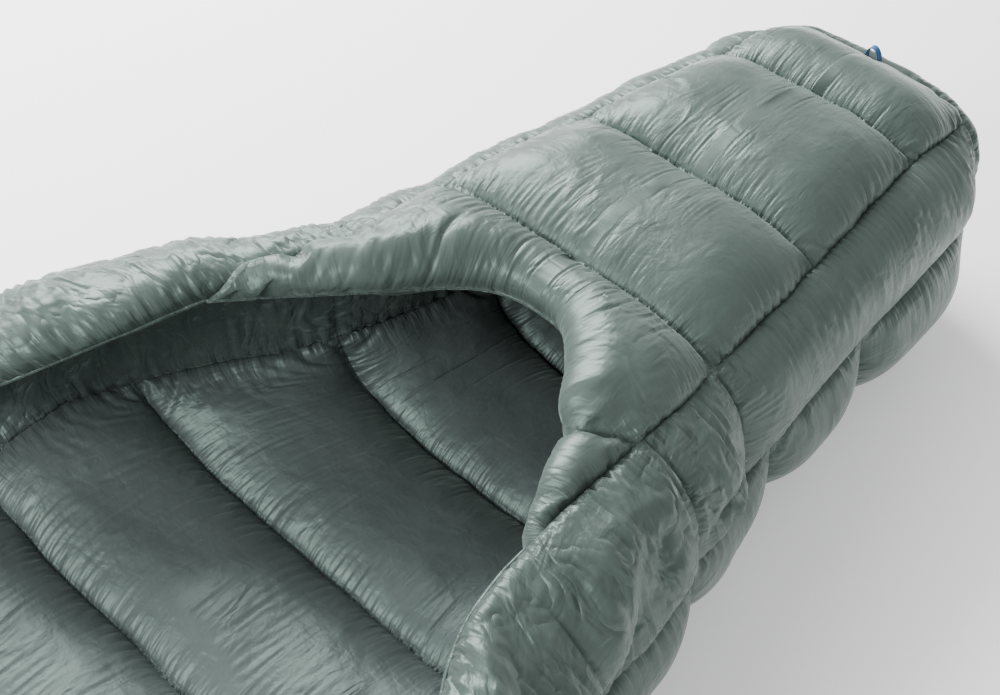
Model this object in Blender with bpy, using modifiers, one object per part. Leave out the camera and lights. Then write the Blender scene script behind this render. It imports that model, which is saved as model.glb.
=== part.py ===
"""Camp quilt with a closed footbox, lying on its outer face with its open back up.

Frame: metres, +Z up, +Y towards the foot, origin on the floor under the middle of the quilt.
The quilt is one padded sheet, wrapped like a boat hull: flat at the head, a trough at the hips and a closed
tube at the foot. Every piece is laid out on the sheet's middle surface, and offset from it along its normal.
"""

import functools
import math

import bmesh
import bpy
import numpy as np
from mathutils import Vector

# Driving dimensions
TOE_SEAM_Y = 0.92            # where the tube's edge is sewn to the toe panel
HEAD_Y = -0.968
FLOOR_TO_MIDDLE = 0.0328     # half the loft: the middle surface's height where the quilt lies flat
HALF_LOFT_CROWN = 0.032      # half the thickness at the middle of a chamber
HALF_LOFT_SEAM = 0.014       # half the height of a baffle wall
HALF_LOFT_EDGE = 0.0014      # shell and lining are sewn together along the free edges
CROWN_REACH = 0.075          # distance from a seam at which a chamber reaches its full loft
FABRIC = 0.0012              # shell and lining cloth
WALL = 0.0010                # baffle mesh
DOWN_PAD = 0.009             # packed down, shown as a pad at the middle of its chamber
DOWN_INSET = 0.022           # from a chamber's seams to its pad
DOWN_SIDE_INSET = 0.034      # the same in the side strips, whose edges are thin
DOWN_SIDE_SPAN = (0.28, 0.42, 0.56)   # the pad's columns, as shares of its strip
GAP = 0.0006                 # between neighbouring pieces
LOWER_SQUARENESS = 0.70      # exponent of the section's lower half: 1 is an ellipse, smaller is squarer
LEAN = 0.05                  # the left side stands taller than the right one by this share, either way
TOP_ANGLE = math.pi * 0.9999
CENTRE_SHARE = 0.66          # share of each half girth that belongs to the centre panel

# Seams across the quilt, from the foot to the head
CENTRE_SEAMS = (TOE_SEAM_Y, 0.68, 0.50, 0.32, 0.14, -0.04, -0.22, -0.40, -0.58, -0.76, -0.90)
SIDE_SEAMS = (TOE_SEAM_Y, 0.43, 0.32, 0.14, -0.04, -0.22, -0.40, -0.58, -0.76, -0.90)
BACK_SEAMS = (TOE_SEAM_Y, 0.80, 0.605, 0.43)
FOLD_Y = -0.40               # the sewn line that the head end folds over on
FOLD_GAP = 0.0012
MOUTH_MIDDLE_Y = 0.378       # the footbox mouth, at the middle of the back panel
MOUTH_CORNER_Y = 0.17        # the footbox mouth, where it runs into the side seams
MOUTH_BOW = 2.2

# Shape of the middle surface along the quilt: y, half width left, half width right, height,
# angle of the edge or side seam around the section, squareness of the section's upper half
STATIONS = (
    (-0.98, 0.575, 0.575, 0.030, 91, 0.70),
    (-0.80, 0.635, 0.635, 0.030, 91, 0.70),
    (-0.60, 0.660, 0.660, 0.032, 91, 0.70),
    (-0.45, 0.640, 0.630, 0.036, 92, 0.70),
    (-0.34, 0.605, 0.570, 0.055, 93, 0.70),
    (-0.20, 0.545, 0.490, 0.120, 104, 0.70),
    (-0.05, 0.455, 0.375, 0.200, 138, 0.58),
    (0.07, 0.400, 0.295, 0.238, 154, 0.45),
    (0.17, 0.345, 0.255, 0.250, 152, 0.45),
    (0.31, 0.245, 0.232, 0.256, 148, 0.45),
    (0.43, 0.212, 0.192, 0.258, 139, 0.45),
    (0.60, 0.182, 0.168, 0.258, 139, 0.45),
    (0.80, 0.152, 0.150, 0.258, 144, 0.45),
    (0.92, 0.138, 0.138, 0.252, 142, 0.45),
)

# The toe panel
TOE_RADIUS = 0.12
TOE_RIM = 0.985              # its edge, as a share of the tube's end
TOE_GAP = 0.004
TOE_BOW = 0.022
TOE_LOFT_CROWN = 0.022

# The small parts
LOOP_WIDTH, LOOP_THICK = 0.008, 0.0010
LOOP_SPAN, LOOP_RISE = 0.017, 0.014
TAB_WIDTH, TAB_LENGTH, TAB_THICK = 0.020, 0.045, 0.0016
SNAP_RADIUS, SNAP_HEIGHT = 0.0065, 0.0030

SHELL_GREEN = (0.105, 0.135, 0.125, 1.0)
LINING_GREEN = (0.075, 0.095, 0.092, 1.0)
DOWN_WHITE = (0.80, 0.78, 0.73, 1.0)
MESH_GREY = (0.30, 0.32, 0.32, 1.0)
LOOP_BLUE = (0.010, 0.120, 0.270, 1.0)
SNAP_GREY = (0.16, 0.17, 0.18, 1.0)


# ---- the middle surface ----

@functools.lru_cache(maxsize=None)
def station_values(y):
    """The stations' values at y, on a Catmull-Rom curve through them."""
    ys = [row[0] for row in STATIONS]
    y = min(max(y, ys[0]), ys[-1])
    i = min(max(np.searchsorted(ys, y) - 1, 0), len(ys) - 2)
    rows = [np.array(STATIONS[min(max(k, 0), len(ys) - 1)][1:], float) for k in range(i - 1, i + 3)]
    knots = [ys[min(max(k, 0), len(ys) - 1)] for k in range(i - 1, i + 3)]
    span = knots[2] - knots[1]
    t = (y - knots[1]) / span
    slope_in = (rows[2] - rows[0]) / max(knots[2] - knots[0], 1e-9) * span
    slope_out = (rows[3] - rows[1]) / max(knots[3] - knots[1], 1e-9) * span
    return (
        (2 * t**3 - 3 * t**2 + 1) * rows[1]
        + (t**3 - 2 * t**2 + t) * slope_in
        + (3 * t**2 - 2 * t**3) * rows[2]
        + (t**3 - t**2) * slope_out
    )


def ring(y, angle):
    """The closed section at y. Angle 0 is the bottom, +180 degrees the top by way of the right side."""
    left, right, height, _, upper_squareness = station_values(y)
    half_width = right if angle > 0 else left
    s, c = math.sin(angle), math.cos(angle)
    squareness = LOWER_SQUARENESS if c > 0 else upper_squareness
    x = half_width * math.copysign(abs(s) ** squareness, s)
    lift = 1 - math.copysign(abs(c) ** squareness, c)
    return np.array([x, y, FLOOR_TO_MIDDLE + height / 2 * lift * (1 - LEAN * s)])


@functools.lru_cache(maxsize=None)
def section(y, start, end, steps=240):
    """Points of the section at y from one angle to another, and the length along it up to each."""
    points = np.array([ring(y, a) for a in np.linspace(start, end, steps + 1)])
    along = np.concatenate([[0], np.cumsum(np.linalg.norm(np.diff(points, axis=0), axis=1))])
    return points, along


def along_section(y, start, end, share):
    """The point at a share of the way, by length, from one angle of the section to another."""
    points, along = section(y, start, end)
    return np.array([np.interp(share * along[-1], along, points[:, k]) for k in range(3)])


def body_point(f, y):
    """Middle surface of the body sheet: f is 0 at the bottom and -1 or 1 at the edges."""
    edge = math.radians(station_values(y)[3])
    return along_section(y, 0, math.copysign(edge, f), abs(f))


def back_point(g, y):
    """Middle surface of the footbox back: g is -1 at the left side seam and 1 at the right one."""
    edge = math.radians(station_values(y)[3])
    side = math.copysign(1, g)
    return along_section(y, side * TOP_ANGLE, side * edge, abs(g))


def normal(surface, u, y, outward):
    """Unit normal of a surface by finite differences."""
    du, dy = 0.004, 0.002
    low, high = max(u - du, -1), min(u + du, 1)
    across = surface(high, y) - surface(low, y)
    front, rear = min(y + dy, TOE_SEAM_Y), y - dy
    along = surface(u, front) - surface(u, rear)
    n = np.cross(across, along)
    return outward * n / np.linalg.norm(n)


def body_at(f, y, offset):
    return body_point(f, y) + offset * normal(body_point, f, y, -1)


def back_at(g, y, offset):
    return back_point(g, y) + offset * normal(back_point, g, y, 1)


def on_disc(u, v):
    """A point of the square -1..1 grid drawn onto the unit disc."""
    return u * math.sqrt(1 - v * v / 2), v * math.sqrt(1 - u * u / 2)


def toe_at(u, v, offset):
    """The toe panel: a square grid drawn onto the tube's end section, bowed outwards."""
    a, b = on_disc(u, v)
    share = math.hypot(a, b)
    rim = ring(TOE_SEAM_Y, math.atan2(a, -b) if share > 0 else 0.0)
    centre = FLOOR_TO_MIDDLE + station_values(TOE_SEAM_Y)[2] / 2
    rim_share = TOE_RIM * share
    y = TOE_SEAM_Y + TOE_GAP + TOE_BOW * (1 - share**2) + offset
    return np.array([rim[0] * rim_share, y, centre + (rim[2] - centre) * rim_share])


def mouth_y(g):
    """The footbox mouth's edge across the back panel."""
    return MOUTH_MIDDLE_Y - (MOUTH_MIDDLE_Y - MOUTH_CORNER_Y) * abs(g) ** MOUTH_BOW


# ---- the loft between shell and lining ----

def rise(distance):
    """0 at a seam, 1 from CROWN_REACH on."""
    return math.sin(math.pi / 2 * min(max(distance / CROWN_REACH, 0), 1))


def between(values, at):
    """The two neighbouring values around at, the higher one first."""
    for high, low in zip(values, values[1:]):
        if low <= at <= high:
            return high, low
    return values[-2], values[-1]


def half_girth(y):
    return section(y, 0, math.radians(station_values(y)[3]))[1][-1]


def edge_loft(y):
    """Half thickness along the body sheet's edges: sewn shut along the opening, a full seam beside the footbox."""
    t = min(max((y - MOUTH_CORNER_Y) / 0.10, 0), 1)
    return HALF_LOFT_EDGE + (HALF_LOFT_SEAM - HALF_LOFT_EDGE) * t


def pillow(at_seam, at_crown, share):
    """Half thickness at a share of the way from a seam to a chamber's crown."""
    return at_seam + (at_crown - at_seam) * share


def body_loft(f, y):
    """Half thickness of the body sheet."""
    girth = half_girth(y)
    strip_share = max(abs(f) - CENTRE_SHARE, 0) / (1 - CENTRE_SHARE)
    seam = HALF_LOFT_SEAM + (edge_loft(y) - HALF_LOFT_SEAM) * strip_share
    if y < CENTRE_SEAMS[-1]:
        high, low = CENTRE_SEAMS[-1], HEAD_Y
        across = (1 - abs(f)) * girth
    elif abs(f) <= CENTRE_SHARE:
        high, low = between(CENTRE_SEAMS, y)
        across = (CENTRE_SHARE - abs(f)) * girth
    else:
        high, low = between(SIDE_SEAMS, y)
        across = min(abs(f) - CENTRE_SHARE, 1 - abs(f)) * girth
    ends = min(seam, HALF_LOFT_EDGE) if y in (HEAD_Y, TOE_SEAM_Y) else seam
    return pillow(ends, HALF_LOFT_CROWN, rise(min(high - y, y - low)) * rise(across))


def back_loft(g, y):
    """Half thickness of the footbox back."""
    edge = mouth_y(g)
    across = (1 - abs(g)) * 0.19
    if y < BACK_SEAMS[-1] - 1e-6:
        to_mouth = y - edge
        low = HALF_LOFT_EDGE if to_mouth < 1e-6 else HALF_LOFT_SEAM
        return pillow(low, HALF_LOFT_CROWN, rise(min(BACK_SEAMS[-1] - y, to_mouth)) * rise(across))
    high, low = between(BACK_SEAMS, y)
    ends = HALF_LOFT_EDGE if y > TOE_SEAM_Y - 1e-6 else HALF_LOFT_SEAM
    return pillow(ends, HALF_LOFT_CROWN, rise(min(high - y, y - low)) * rise(across))


def toe_loft(u, v):
    to_rim = (1 - math.hypot(*on_disc(u, v))) * TOE_RADIUS
    return pillow(HALF_LOFT_EDGE, TOE_LOFT_CROWN, rise(to_rim))


# ---- making objects ----

def clear_scene():
    for obj in list(bpy.data.objects):
        bpy.data.objects.remove(obj)


def material(name, colour, roughness, metallic=0.0):
    made = bpy.data.materials.get(name)
    if made is None:
        made = bpy.data.materials.new(name)
        made.use_nodes = True
        shader = made.node_tree.nodes["Principled BSDF"]
        shader.inputs["Base Color"].default_value = colour
        shader.inputs["Roughness"].default_value = roughness
        shader.inputs["Metallic"].default_value = metallic
        made.diffuse_color = colour
    return made


def shell_cloth():
    return material("shell_nylon", SHELL_GREEN, 0.42)


def lining_cloth():
    return material("lining_nylon", LINING_GREEN, 0.45)


def down():
    return material("down", DOWN_WHITE, 0.95)


def baffle_mesh():
    return material("baffle_mesh", MESH_GREY, 0.8)


def blue_webbing():
    return material("blue_webbing", LOOP_BLUE, 0.7)


def snap_plastic():
    return material("snap_plastic", SNAP_GREY, 0.35)


def add_object(name, mesh, finish, smooth=True):
    obj = bpy.data.objects.new(name, mesh)
    quilt.objects.link(obj)
    mesh.materials.append(finish)
    if smooth:
        mesh.shade_smooth()
    return obj


def grid_mesh(name, columns, rows, place):
    """A grid whose vertex (i, j) lies at place(i, j)."""
    bm = bmesh.new()
    bmesh.ops.create_grid(bm, x_segments=columns, y_segments=rows, size=0.5)
    for vert in bm.verts:
        i, j = round((vert.co.x + 0.5) * columns), round((vert.co.y + 0.5) * rows)
        vert.co = Vector(place(i, j))
    mesh = bpy.data.meshes.new(name)
    bm.to_mesh(mesh)
    bm.free()
    return mesh


def thicken(obj, thickness):
    cloth = obj.modifiers.new("thickness", "SOLIDIFY")
    cloth.thickness = thickness
    cloth.offset = 0
    cloth.use_even_offset = True
    return obj


def sheet(name, at, loft, us, ys_of, sign, finish):
    """Shell (sign 1) or lining (sign -1) cloth over the grid us by ys_of(u)."""
    def place(i, j):
        u, y = us[i], ys_of(us[i])[j]
        return at(u, y, sign * loft(u, y))
    mesh = grid_mesh(name, len(us) - 1, len(ys_of(us[0])) - 1, place)
    return thicken(add_object(name, mesh, finish), FABRIC)


def pad(name, at, us, ys_of):
    """The down of one chamber, packed to a pad at mid thickness."""
    mesh = grid_mesh(name, len(us) - 1, len(ys_of(us[0])) - 1, lambda i, j: at(us[i], ys_of(us[i])[j], 0))
    return thicken(add_object(name, mesh, down()), DOWN_PAD)


def wall(name, at, us, y):
    """A baffle wall across the quilt at y, from just inside the shell to just inside the lining."""
    half = HALF_LOFT_SEAM - FABRIC / 2 - 2 * GAP
    mesh = grid_mesh(name, len(us) - 1, 1, lambda i, j: at(us[i], y, half * (2 * j - 1)))
    return thicken(add_object(name, mesh, baffle_mesh(), smooth=False), WALL)


# ---- grids ----

CENTRE_US = [CENTRE_SHARE * k for k in (-1, -0.88, -0.74, -0.55, -0.28, 0, 0.28, 0.55, 0.74, 0.88, 1)]
SIDE_US = [CENTRE_SHARE + (1 - CENTRE_SHARE) * k for k in (0.2, 0.4, 0.6, 0.8, 0.975)]
BODY_US = [-u for u in reversed(SIDE_US)] + CENTRE_US + SIDE_US
BACK_US = [0.975 * k for k in (-1, -0.82, -0.55, -0.27, 0, 0.27, 0.55, 0.82, 1)]


def rows_between(seams, inner=(0.30, 0.70)):
    """Seam positions from high to low, with rows between them."""
    rows = [seams[0]]
    for high, low in zip(seams, seams[1:]):
        rows += [high + (low - high) * t for t in inner]
        rows.append(low)
    return rows


def trimmed(rows, high_trim, low_trim):
    return [rows[0] - high_trim] + rows[1:-1] + [rows[-1] + low_trim]


def body_rows(high, low):
    """Rows of the body sheet from one seam to another, with the side strips' extra seam."""
    seams = sorted({y for y in CENTRE_SEAMS + SIDE_SEAMS + (HEAD_Y,) if low <= y <= high}, reverse=True)
    return rows_between(seams)


def back_rows(g):
    """Rows of the footbox back at g: full chambers, then the crescent down to the mouth."""
    rows = rows_between(BACK_SEAMS)
    low, high = mouth_y(g) + GAP, BACK_SEAMS[-1]
    return rows + [high + (low - high) * t for t in (0.2, 0.4, 0.6, 0.8, 1.0)]


# ---- the parts ----

def make_cloth():
    foot = trimmed(body_rows(TOE_SEAM_Y, FOLD_Y), GAP, FOLD_GAP / 2)
    head = trimmed(body_rows(FOLD_Y, HEAD_Y), FOLD_GAP / 2, 0)
    for sign, kind, finish in ((1, "shell", shell_cloth()), (-1, "lining", lining_cloth())):
        sheet(f"{kind}_body_foot", body_at, body_loft, BODY_US, lambda u: foot, sign, finish)
        sheet(f"{kind}_body_head", body_at, body_loft, BODY_US, lambda u: head, sign, finish)
        sheet(f"{kind}_footbox_back", back_at, back_loft, BACK_US, back_rows, sign, finish)
        toe = grid_mesh(f"{kind}_toe", 8, 8, lambda i, j: toe_at(
            i / 4 - 1, j / 4 - 1, sign * toe_loft(i / 4 - 1, j / 4 - 1)))
        thicken(add_object(f"{kind}_toe", toe, finish), FABRIC)


def inset(low, high, by, count):
    return list(np.linspace(low + by, high - by, count))


def make_down():
    for k, (high, low) in enumerate(zip(CENTRE_SEAMS, CENTRE_SEAMS[1:]), 1):
        share = CENTRE_SHARE - DOWN_INSET / half_girth((high + low) / 2)
        us = [share * t for t in (-1, -0.75, -0.4, 0, 0.4, 0.75, 1)]
        rows = inset(low, high, DOWN_INSET, 3)[::-1]
        pad(f"down_centre_{k:02d}", body_at, us, lambda u, rows=rows: rows)
    for side, name in ((-1, "left"), (1, "right")):
        for k, (high, low) in enumerate(zip(SIDE_SEAMS, SIDE_SEAMS[1:]), 1):
            us = sorted(side * (CENTRE_SHARE + (1 - CENTRE_SHARE) * t) for t in DOWN_SIDE_SPAN)
            count = 7 if high - low > 0.3 else 4
            rows = inset(low, high, DOWN_SIDE_INSET, count)[::-1]
            pad(f"down_{name}_{k}", body_at, us, lambda u, rows=rows: rows)
    for k, (high, low) in enumerate(zip(BACK_SEAMS, BACK_SEAMS[1:]), 1):
        rows = inset(low, high, DOWN_INSET, 3)[::-1]
        pad(f"down_back_{k}", back_at, [-0.86, -0.45, 0, 0.45, 0.86], lambda g, rows=rows: rows)
    pad("down_mouth", back_at, [-0.80, -0.5, -0.25, 0, 0.25, 0.5, 0.80], lambda g: inset(
        mouth_y(g), BACK_SEAMS[-1], 0.014, 2)[::-1])
    toe = grid_mesh("down_toe", 4, 4, lambda i, j: toe_at(0.72 * (i / 2 - 1), 0.72 * (j / 2 - 1), 0))
    thicken(add_object("down_toe", toe, down()), DOWN_PAD)
    collar = inset(HEAD_Y, CENTRE_SEAMS[-1], 0.020, 2)[::-1]
    pad("down_collar", body_at, [0.95 * t for t in (-1, -0.7, -0.35, 0, 0.35, 0.7, 1)], lambda u: collar)


def make_baffle_walls():
    for k, y in enumerate(CENTRE_SEAMS[1:], 1):
        wall(f"baffle_centre_{k:02d}", body_at, CENTRE_US, y if y != FOLD_Y else y + FOLD_GAP)
    for k, y in enumerate(BACK_SEAMS[1:], 1):
        wall(f"baffle_back_{k}", back_at, BACK_US[1:-1], y)


def make_hang_loop():
    """A ribbon bent to an arch along the toe seam, sewn to it at both feet."""
    base = ring(TOE_SEAM_Y, math.pi)[2] + 0.0048
    steps = 12

    def place(i, j):
        a = math.pi * i / steps
        x = -0.009 - LOOP_SPAN / 2 * math.cos(a)
        return (x, TOE_SEAM_Y + 0.002 + LOOP_WIDTH * (j - 0.5), base + LOOP_RISE * math.sin(a))

    return thicken(add_object("hang_loop", grid_mesh("hang_loop", steps, 1, place), blue_webbing()), LOOP_THICK)


def make_neck_closure():
    """A webbing tab at each end of the collar, one with the snap's stud and one with its socket."""
    y = (HEAD_Y + CENTRE_SEAMS[-1]) / 2
    for side, name, snap in ((-1, "left", "snap_stud"), (1, "right", "snap_socket")):
        edge = body_point(side * 1.0, y)
        start = edge[0] + side * 0.003
        bpy.ops.mesh.primitive_cube_add(size=1)
        tab = bpy.context.object
        tab.name = tab.data.name = f"neck_tab_{name}"
        tab.scale = (TAB_LENGTH, TAB_WIDTH, TAB_THICK)
        tab.location = (start + side * TAB_LENGTH / 2, y, edge[2])
        move_to_quilt(tab, shell_cloth())
        bpy.ops.object.transform_apply(location=False, rotation=False, scale=True)
        bpy.ops.mesh.primitive_cylinder_add(vertices=24, radius=SNAP_RADIUS, depth=SNAP_HEIGHT)
        disc = bpy.context.object
        disc.name = disc.data.name = snap
        disc.location = (
            start + side * (TAB_LENGTH - 0.011), y, edge[2] + TAB_THICK / 2 + SNAP_HEIGHT / 2 + 0.0003)
        move_to_quilt(disc, snap_plastic())


def move_to_quilt(obj, finish):
    for collection in obj.users_collection:
        collection.objects.unlink(obj)
    quilt.objects.link(obj)
    obj.data.materials.append(finish)


clear_scene()
quilt = bpy.data.collections.new("camp_quilt")
bpy.context.scene.collection.children.link(quilt)
make_cloth()
make_down()
make_baffle_walls()
make_hang_loop()
make_neck_closure()
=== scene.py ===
"""Camp quilt: sewn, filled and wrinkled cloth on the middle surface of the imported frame.

Frame: metres, +Z up, +Y towards the foot. Shell and lining are grids of cloth, pinned along the seams and
blown out by the down between them. The cloth is cut a little longer than the space it spans, unevenly, so it
puckers along its seams and folds in between.
"""

import functools
import math

import bpy
import numpy as np
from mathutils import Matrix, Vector


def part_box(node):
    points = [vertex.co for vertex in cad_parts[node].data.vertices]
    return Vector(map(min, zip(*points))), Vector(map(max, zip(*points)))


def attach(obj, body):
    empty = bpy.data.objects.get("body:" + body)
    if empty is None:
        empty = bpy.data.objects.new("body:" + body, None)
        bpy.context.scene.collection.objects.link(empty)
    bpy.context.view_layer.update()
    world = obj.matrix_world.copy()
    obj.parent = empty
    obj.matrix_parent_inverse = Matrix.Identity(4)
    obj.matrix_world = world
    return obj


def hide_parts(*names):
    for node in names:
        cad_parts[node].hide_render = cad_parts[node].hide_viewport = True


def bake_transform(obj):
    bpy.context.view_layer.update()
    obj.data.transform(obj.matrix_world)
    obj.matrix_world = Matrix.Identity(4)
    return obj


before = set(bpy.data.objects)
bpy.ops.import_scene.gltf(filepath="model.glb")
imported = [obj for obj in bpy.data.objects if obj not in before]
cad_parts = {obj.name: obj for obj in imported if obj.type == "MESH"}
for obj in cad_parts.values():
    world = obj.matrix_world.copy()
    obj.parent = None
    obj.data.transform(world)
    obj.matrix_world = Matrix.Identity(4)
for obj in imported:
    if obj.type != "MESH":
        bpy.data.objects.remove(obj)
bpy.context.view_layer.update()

# ---- sizes of the middle surface, as in the frame ----
TOE_SEAM_Y = 0.92  # where the tube's edge is sewn to the toe panel
HEAD_Y = -0.968
FLOOR_TO_MIDDLE = 0.0328  # half the loft: the middle surface's height where the quilt lies flat
HALF_LOFT_CROWN = 0.036  # half the thickness at the middle of a chamber
HALF_LOFT_SEAM = 0.011  # half the height of a baffle wall
HALF_LOFT_EDGE = 0.0014  # shell and lining are sewn together along the free edges
CROWN_REACH = 0.068  # distance from a seam at which a chamber reaches its full loft
ROLL_REACH = 0.042  # the same from a free edge, which is rounder
TOE_REACH = 0.085  # the same from the toe seam
CROWN_POWER = 0.85  # power of the sine that a chamber rises on: smaller is fuller
TOE_POWER = 0.9
LOWER_SQUARENESS = 0.70  # exponent of the section's lower half: 1 is an ellipse, smaller is squarer
LEAN = 0.05  # the left side stands taller than the right one by this share, either way
TOP_ANGLE = math.pi * 0.9999
CENTRE_SHARE_LEFT = 0.60  # share of each half girth that belongs to the centre panel
CENTRE_SHARE_RIGHT = 0.66
CENTRE_SEAMS = (TOE_SEAM_Y, 0.68, 0.50, 0.32, 0.14, -0.04, -0.22, -0.40, -0.58, -0.76, -0.90)
# the side strips' cross seams, and how deep each one is sewn: 1 reaches the baffle
LEFT_SEAMS = ((TOE_SEAM_Y, 1), (0.43, 0.7), (0.32, 0.8), (0.14, 0.45), (-0.04, 0.6), (-0.22, 0.8), (-0.40, 1),
              (-0.58, 1), (-0.76, 1), (-0.90, 1))
RIGHT_SEAMS = ((TOE_SEAM_Y, 1), (0.43, 1), (0.32, 1), (0.14, 0.6), (-0.04, 0.8), (-0.22, 0.8), (-0.40, 1),
               (-0.58, 1), (-0.76, 1), (-0.90, 1))
STITCHED_DEPTH = 0.75  # the cloth is held down to the seam from this depth on
BACK_SEAMS = (TOE_SEAM_Y, 0.80, 0.605, 0.43)
RIM_SEAM_Y = 0.31  # the short seam across the crescent's right end, where it meets the side seam
RIM_SEAM_SLOPE = 0.12  # it runs towards the head by this much for a half width
RIM_SEAM_FROM = 0.72  # share of the half width where it starts, at the mouth
FOLD_Y = -0.40  # the sewn line that the head end folds over on
MOUTH_MIDDLE_Y = 0.378  # the footbox mouth, at the middle of the back panel
MOUTH_CORNER_Y = 0.17  # the footbox mouth, where it runs into the side seams
MOUTH_BOW = 2.2  # power of the mouth's curve: larger is flatter in the middle
OPENING_REACH = 0.10  # from the mouth's corner on, the edge opens to a full seam over this length
TOE_RADIUS = 0.12  # the toe panel's mean radius
TOE_BOW = 0.022  # how far it is bowed outwards
TOE_LOFT_CROWN = 0.022

# y, half width left, half width right, height, angle of the edge or side seam, squareness of the upper half
STATIONS = (
    (-0.98, 0.575, 0.575, 0.030, 91, 0.70),
    (-0.80, 0.635, 0.635, 0.030, 91, 0.70),
    (-0.60, 0.660, 0.660, 0.032, 91, 0.70),
    (-0.45, 0.640, 0.630, 0.036, 92, 0.70),
    (-0.34, 0.605, 0.570, 0.055, 93, 0.70),
    (-0.20, 0.545, 0.490, 0.120, 104, 0.70),
    (-0.05, 0.455, 0.375, 0.200, 138, 0.58),
    (0.07, 0.400, 0.295, 0.238, 154, 0.45),
    (0.17, 0.345, 0.255, 0.250, 152, 0.45),
    (0.31, 0.245, 0.232, 0.256, 148, 0.45),
    (0.43, 0.212, 0.192, 0.258, 139, 0.45),
    (0.60, 0.182, 0.168, 0.258, 139, 0.45),
    (0.80, 0.152, 0.150, 0.258, 144, 0.45),
    (0.92, 0.138, 0.138, 0.252, 142, 0.45),
)

# ---- the cloth ----
ROW_PITCH = 0.0044  # the grids' cells along the quilt, in metres
HEAD_ROW_PITCH = 0.0066  # and in the head half
HEAD_PITCH_FROM = -0.30
HALF_COLUMNS = 200  # from the middle to an edge: the longitudinal seams fall on columns
BACK_COLUMNS = 144  # across the footbox back
CRESCENT_DEPTH = 0.16  # the crescent chamber's rows are counted for this depth
TOE_CELLS = 96  # both ways across the toe panel
LEVELS = ((4, 200), (2, 140), (1, 90))  # every so many points, and the steps taken with them
PATCHINESS = 0.8  # how unevenly the fullness is spread
KICK = 0.0008  # random start that the folds grow from
FULLNESS_BASE = 0.030  # how much longer the cloth is than its space, away from the seams
FULLNESS_SEAM = 0.095  # and what is added along a seam
FULLNESS_STRIP = 0.050  # added along the side strips and round the mouth
SEAM_REACH = 0.022  # how far a seam's gathers run
LUMP = 0.10  # uneven down, as a share of the loft
PUCKER = 0.0011  # how far a seam's own line wanders
SHIFT = 0.0022  # how far the cloth is sewn out of place along a seam
BLOW = 0.000030  # outward push of the down at each step, in metres
HOLD = 0.004  # how strongly the down holds the cloth at its own loft, per step
HOLD_STRIP = 0.016  # the same in the side strips
DAMPING = 0.93  # share of a point's motion that is left at the next step
COMPRESSION = 0.70  # how much the cloth resists being squeezed, as a share of its pull
SHEAR = 0.60  # pull along the cells' diagonals, as a share of the pull along their sides
SMOOTHING = 0.008  # share by which a point is brought to the middle of its neighbours
CRUMPLE = 0.0088  # folds in the side strips and round the mouth
CRUMPLED_TO = 0.46  # the strips are crumpled beside the trough, and smooth along the tube
CRUMPLED_FROM = -0.10  # and where the quilt lies flat
CRUMPLED_LEFT = 0.50  # share of the folds that is left along the tube, on the left side
CRUMPLED_RIGHT = 0.12  # and on the right side
CRUMPLED_FLAT = 0.15  # and where the quilt lies flat
STRIP_LOFT_LEFT = (0.40, 0.95)  # the strips' share of the full loft beside the trough, and along the tube
STRIP_LOFT_RIGHT = (0.80, 0.88)
TUCK = 0.014  # how far a free edge is tucked inwards, at the mouth and along the left side
TUCK_RIGHT = -0.002  # along the right side, beside the trough, it leans a little outwards
TUCK_REACH = 0.030
FLOOR_CLEAR = 0.0006  # the cloth stays this high above the floor

# cells of the noise, as rows and columns of the grid
PATCH_CELLS = ((10, 16), (5, 8))
BODY_LUMP_CELLS = (22, 28)
BACK_LUMP_CELLS = (20, 24)
TOE_LUMP_CELLS = (14, 14)
# the same for folded facets, with how far they lean
LARGE_FACETS = (13, 26, 0.40)
SMALL_FACETS = (7, 14, -0.30)
RIM_FACETS = (12, 9, 0.50)

# ---- hem, thread, ribbon, tabs and snap ----
HEM_RADIUS = 0.0021
STITCH_PITCH = 0.0040
STITCH_SHARE = 0.60  # share of the pitch where the thread lies on top
STITCH_LIFT = 0.00010
STITCH_WIDTH = 0.00030
LOOP_SPAN = 0.017  # the hang loop: an arch of ribbon
LOOP_RISE = 0.014
LOOP_WIDTH = 0.008
LOOP_THICK = 0.0010
LOOP_OVERRUN = 0.12  # angle by which each end goes on into the seam
LOOP_FLARE = 0.10  # the arch is wider at its crown by this share
LOOP_TWIST = 0.0012
LOOP_POINTS = 44
TAB_WIDTH = 0.020
TAB_THICK = 0.0016
TAB_WAVE = 0.0006  # the tapes' slight wave, and its length
TAB_WAVE_LENGTH = 0.045
TAB_POINTS = 24
# the snap's halves, turned: radius and height from the bottom centre to the top centre
STUD_PROFILE = ((0, 0), (0.0060, 0), (0.0065, 0.0004), (0.0064, 0.0009), (0.0058, 0.0012), (0.0034, 0.0013),
                (0.0026, 0.0015), (0.0024, 0.0022), (0.0027, 0.0026), (0.0023, 0.0030), (0.0012, 0.0030),
                (0, 0.0029))
SOCKET_PROFILE = ((0, 0), (0.0060, 0), (0.0065, 0.0005), (0.0065, 0.0018), (0.0060, 0.0026), (0.0051, 0.0030),
                  (0.0041, 0.0029), (0.0033, 0.0024), (0.0029, 0.0012), (0.0027, 0.0008), (0, 0.0008))

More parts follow.
